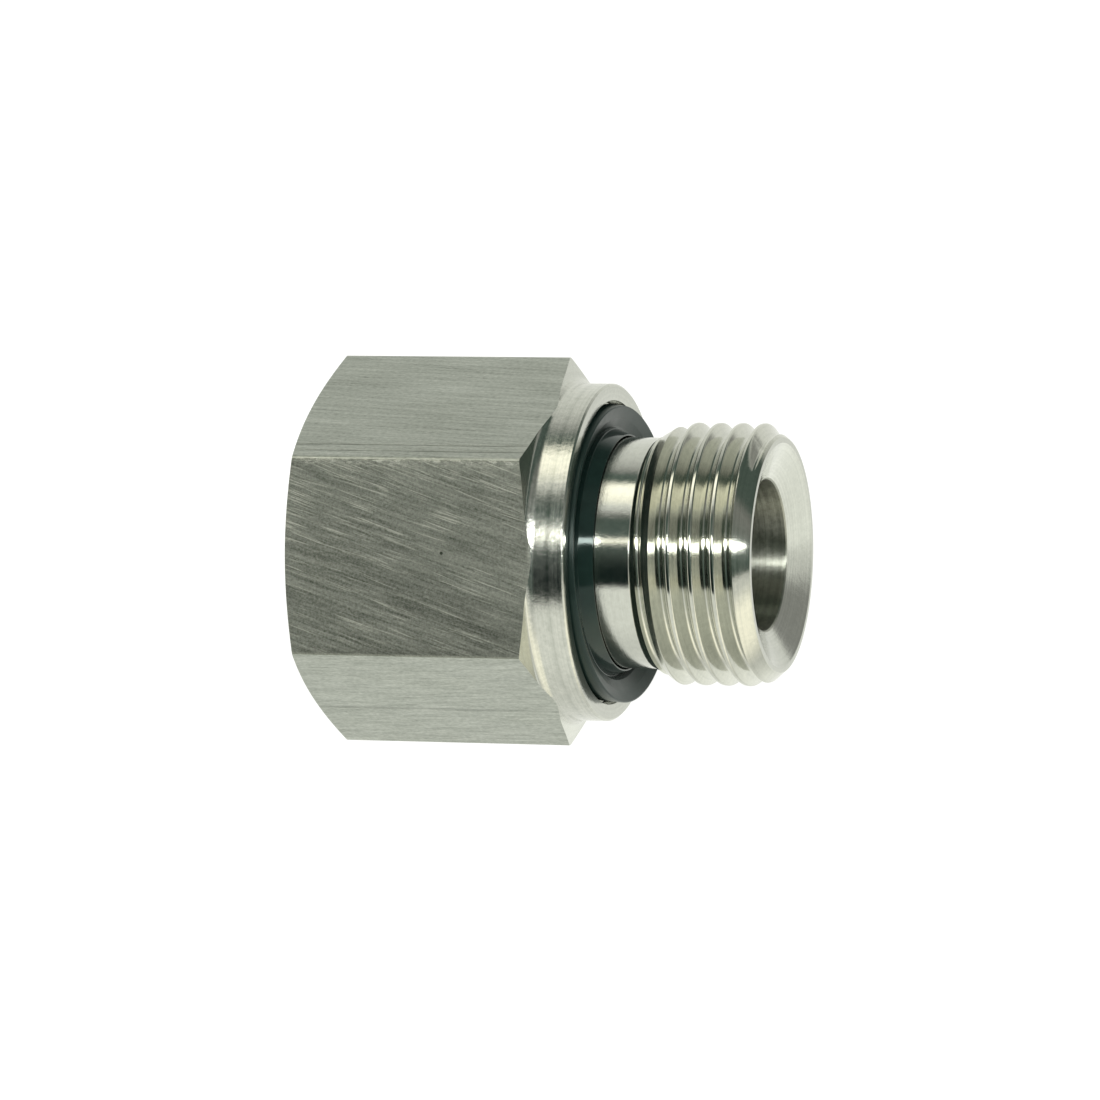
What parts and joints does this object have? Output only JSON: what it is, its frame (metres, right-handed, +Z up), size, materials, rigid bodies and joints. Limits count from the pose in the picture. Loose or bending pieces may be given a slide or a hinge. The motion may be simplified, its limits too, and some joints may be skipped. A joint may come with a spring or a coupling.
{
  "type": "reducing adapter",
  "caption": "Stainless steel reducing adapter: a hexagonal body with a threaded port, and a threaded stud end whose collar holds a sealing ring.",
  "frame": {"origin": "centre of the length and the width, on the flat that the hexagon lies on", "axes": "+X along the adapter's axis, from the port to the stud's end; +Z up, square to the resting flat"},
  "size_m": [0.037, 0.031, 0.027],
  "materials": {
    "stainless_steel": "bright turned stainless steel, with the flats left as drawn bar",
    "black_rubber": "matt moulded nitrile rubber"
  },
  "bodies": {
    "root": {"adapter_body": "stainless_steel", "sealing_ring": "black_rubber"}
  },
  "joints": []
}
